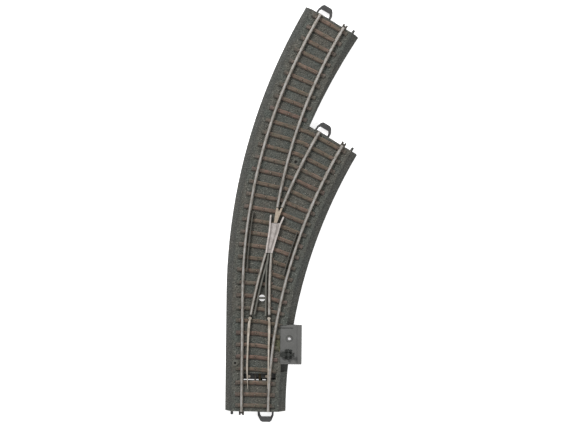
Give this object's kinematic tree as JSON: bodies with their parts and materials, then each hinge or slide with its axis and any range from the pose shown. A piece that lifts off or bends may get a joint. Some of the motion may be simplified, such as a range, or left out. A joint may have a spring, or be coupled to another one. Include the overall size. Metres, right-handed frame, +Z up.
{
  "type": "model turnout switch",
  "caption": "Right-hand curved model railway turnout on a moulded roadbed with a hand lever, pivoting blades, throw bar and snap-together track ends.",
  "frame": {"origin": "middle of the toe end face, on the surface the roadbed stands on", "axes": "+Y along the track away from the toe, +X to the right (the diverging side), +Z up"},
  "size_m": [0.0856, 0.2757, 0.0113],
  "materials": {
    "ballast_plastic": "moulded grey ballast texture",
    "sleeper_plastic": "moulded brown wood-grain texture",
    "rail_metal": "rolled rail, dull bright head",
    "blade_metal": "machined blade, warm tone",
    "frog_metal": "cast, satin",
    "dark_metal": "blackened strip",
    "guard_metal": "grey painted",
    "housing_plastic": "moulded grey, fine texture",
    "black_plastic": "moulded black",
    "brass": "plain",
    "spring_steel": "bright wire"
  },
  "bodies": {
    "roadbed": {"blade_feeder_strip": "brass", "centre_strip_branch": "dark_metal", "centre_strip_main": "dark_metal", "coupling_loop_inner": "black_plastic", "coupling_loop_outer": "black_plastic", "coupling_loop_toe": "black_plastic", "end_pegs": "black_plastic", "feeder_strap": "brass", "frog_casting": "frog_metal", "frog_nose": "blade_metal", "guard_frame": "guard_metal", "housing_base": "housing_plastic", "housing_cover": "housing_plastic", "housing_floor": "housing_plastic", "housing_screws": "spring_steel", "inner_exit_rail": "rail_metal", "left_check_rail": "dark_metal", "left_closure_rail": "rail_metal", "left_stock_rail": "rail_metal", "lever_bearing": "black_plastic", "outer_exit_rail": "rail_metal", "rail_contact_inner": "dark_metal", "rail_contact_outer": "dark_metal", "rail_contact_toe": "dark_metal", "right_check_rail": "dark_metal", "right_closure_rail": "rail_metal", "right_stock_rail": "rail_metal", "roadbed_shell": "ballast_plastic", "sleepers": "sleeper_plastic", "toggle_spring": "spring_steel"},
    "hand_lever_body": {"hand_lever": "black_plastic", "lever_axle": "dark_metal"},
    "drive_slider_body": {"drive_slider": "black_plastic", "throw_bar": "black_plastic", "slider_rivet": "brass"},
    "left_blade_body": {"left_switch_blade": "blade_metal", "left_heel_pin": "brass", "left_drive_pin": "spring_steel"},
    "right_blade_body": {"right_switch_blade": "blade_metal", "right_heel_pin": "brass", "right_drive_pin": "spring_steel"},
    "lantern_body": {"lantern_socket": "black_plastic"}
  },
  "joints": [
    {"name": "hand_lever_tilt", "type": "hinge", "parent": "roadbed", "child": "hand_lever_body", "pos_m": [0.0217, 0.0379, 0.0086], "axis": [0, 1, 0], "range_deg": [0, 28]},
    {"name": "throw_bar_slide", "type": "slide", "parent": "roadbed", "child": "drive_slider_body", "axis": [-1, 0, 0], "range_m": [0, 0.00291], "deforming": ["toggle_spring"]},
    {"name": "left_blade_pivot", "type": "hinge", "parent": "roadbed", "child": "left_blade_body", "pos_m": [-0.00364, 0.0615, 0.008], "axis": [0, 0, -1], "range_deg": [0, 4.25]},
    {"name": "right_blade_pivot", "type": "hinge", "parent": "roadbed", "child": "right_blade_body", "pos_m": [0.0088, 0.0615, 0.008], "axis": [0, 0, -1], "range_deg": [0, 4.25]},
    {"name": "lantern_turn", "type": "hinge", "parent": "roadbed", "child": "lantern_body", "pos_m": [0.0222, 0.048, 0.005], "axis": [0, 0, -1], "range_deg": [0, 90]}
  ],
  "couplings": [
    {"joint": "throw_bar_slide", "follows": "hand_lever_tilt", "m_per_rad": 0.0059444},
    {"joint": "left_blade_pivot", "follows": "hand_lever_tilt", "ratio": 0.15179},
    {"joint": "right_blade_pivot", "follows": "hand_lever_tilt", "ratio": 0.15179},
    {"joint": "lantern_turn", "follows": "hand_lever_tilt", "ratio": 3.2143}
  ]
}
